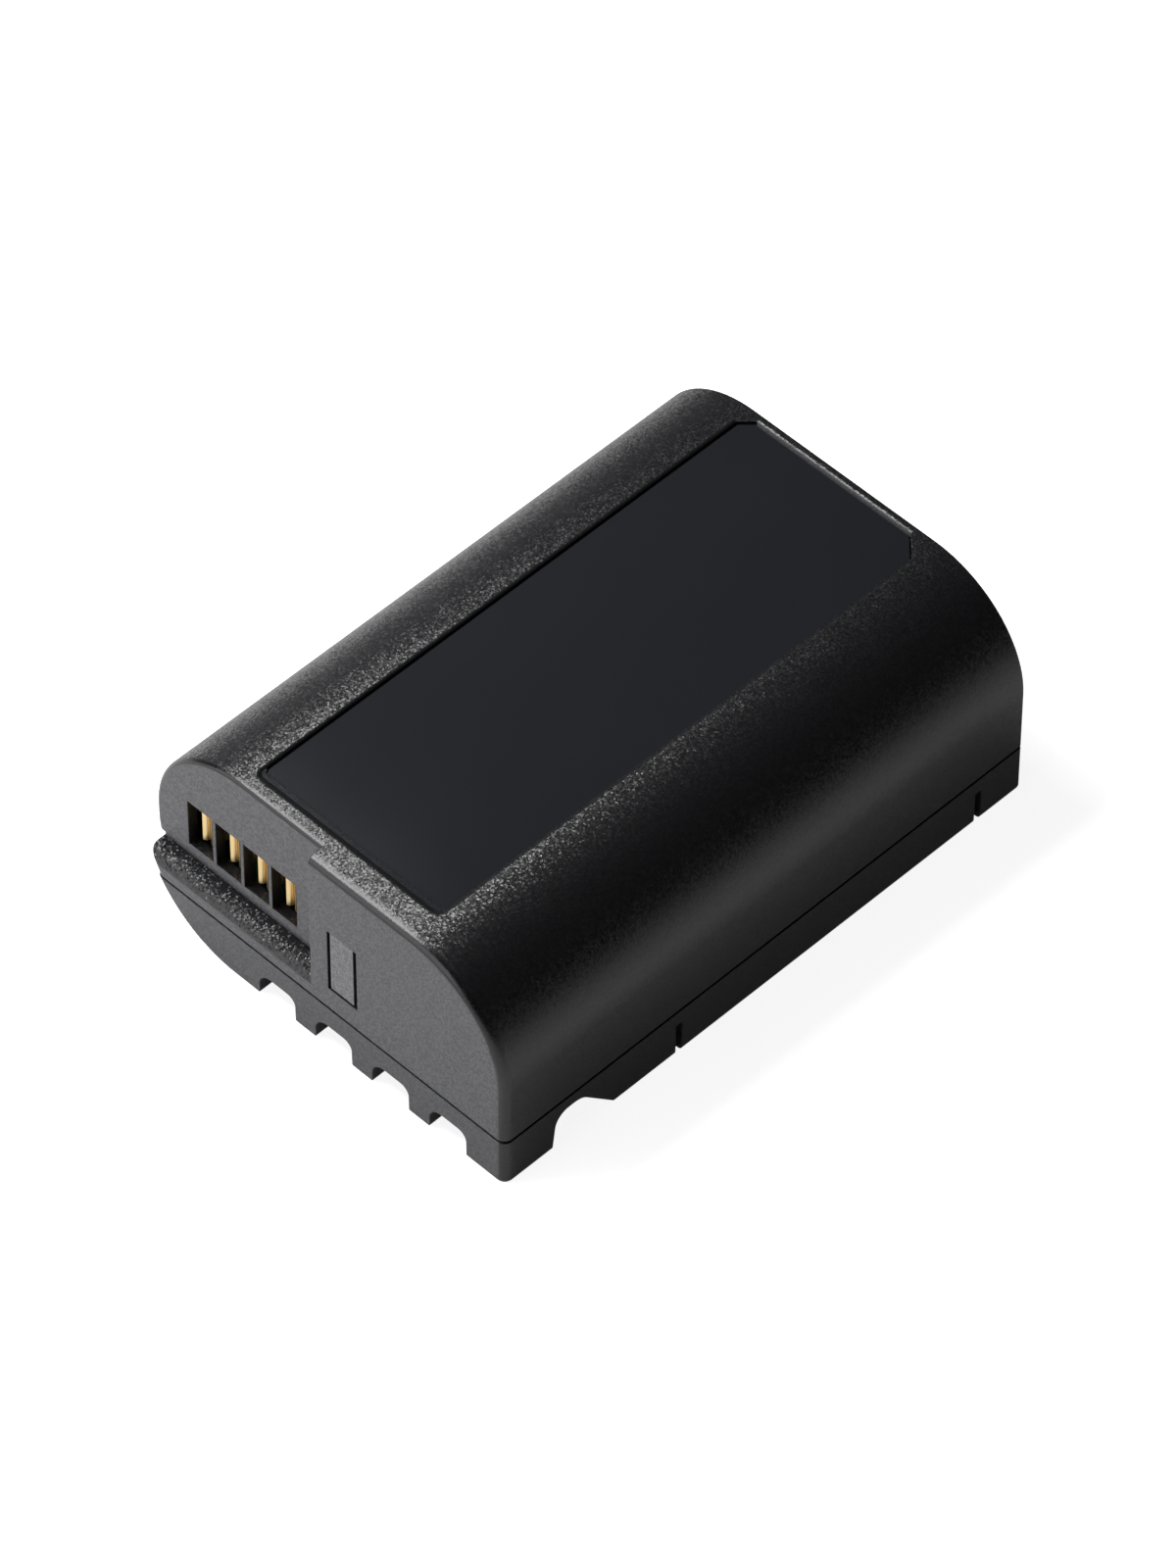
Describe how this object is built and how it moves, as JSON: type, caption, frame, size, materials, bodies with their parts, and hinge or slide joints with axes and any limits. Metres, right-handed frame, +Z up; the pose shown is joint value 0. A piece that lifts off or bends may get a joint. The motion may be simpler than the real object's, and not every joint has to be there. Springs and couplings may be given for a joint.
{
  "type": "camera battery",
  "caption": "Rechargeable camera battery: black moulded case with round shoulders, a recessed contact end, keying notches and a bare label on top.",
  "frame": {"origin": "centre of the base, on the surface the battery lies on", "axes": "+Y along the length away from the contact end, +X across the width, +Z up through the label"},
  "size_m": [0.0398, 0.057, 0.0212],
  "materials": {
    "case_plastic": "black moulded plastic with fine spark-eroded grain",
    "label_film": "smooth satin film",
    "contact_gold": "gold plate on spring bronze",
    "board_laminate": "green solder mask on glass laminate",
    "chip_epoxy": "moulded black epoxy",
    "cell_sleeve": "shrunk plastic sleeve",
    "fibre_paper": "pressed fibre",
    "foam_tape": "closed-cell foam",
    "nickel_strip": "rolled nickel"
  },
  "bodies": {
    "root": {"upper_case": "case_plastic", "lower_cover": "case_plastic", "label": "label_film", "circuit_board": "board_laminate", "protection_chip": "chip_epoxy", "switch_transistor": "chip_epoxy", "thermal_fuse": "chip_epoxy", "thermistor": "chip_epoxy", "cell_left": "cell_sleeve", "cell_right": "cell_sleeve", "cell_ring_left": "fibre_paper", "cell_ring_right": "fibre_paper", "cell_tape_left": "foam_tape", "cell_tape_right": "foam_tape", "positive_tab": "nickel_strip", "negative_tab": "nickel_strip", "series_link": "nickel_strip", "middle_tap": "nickel_strip", "insulator_sheet": "fibre_paper", "end_pad": "foam_tape", "terminal_1": "contact_gold", "terminal_2": "contact_gold", "terminal_3": "contact_gold", "terminal_4": "contact_gold"}
  },
  "joints": []
}
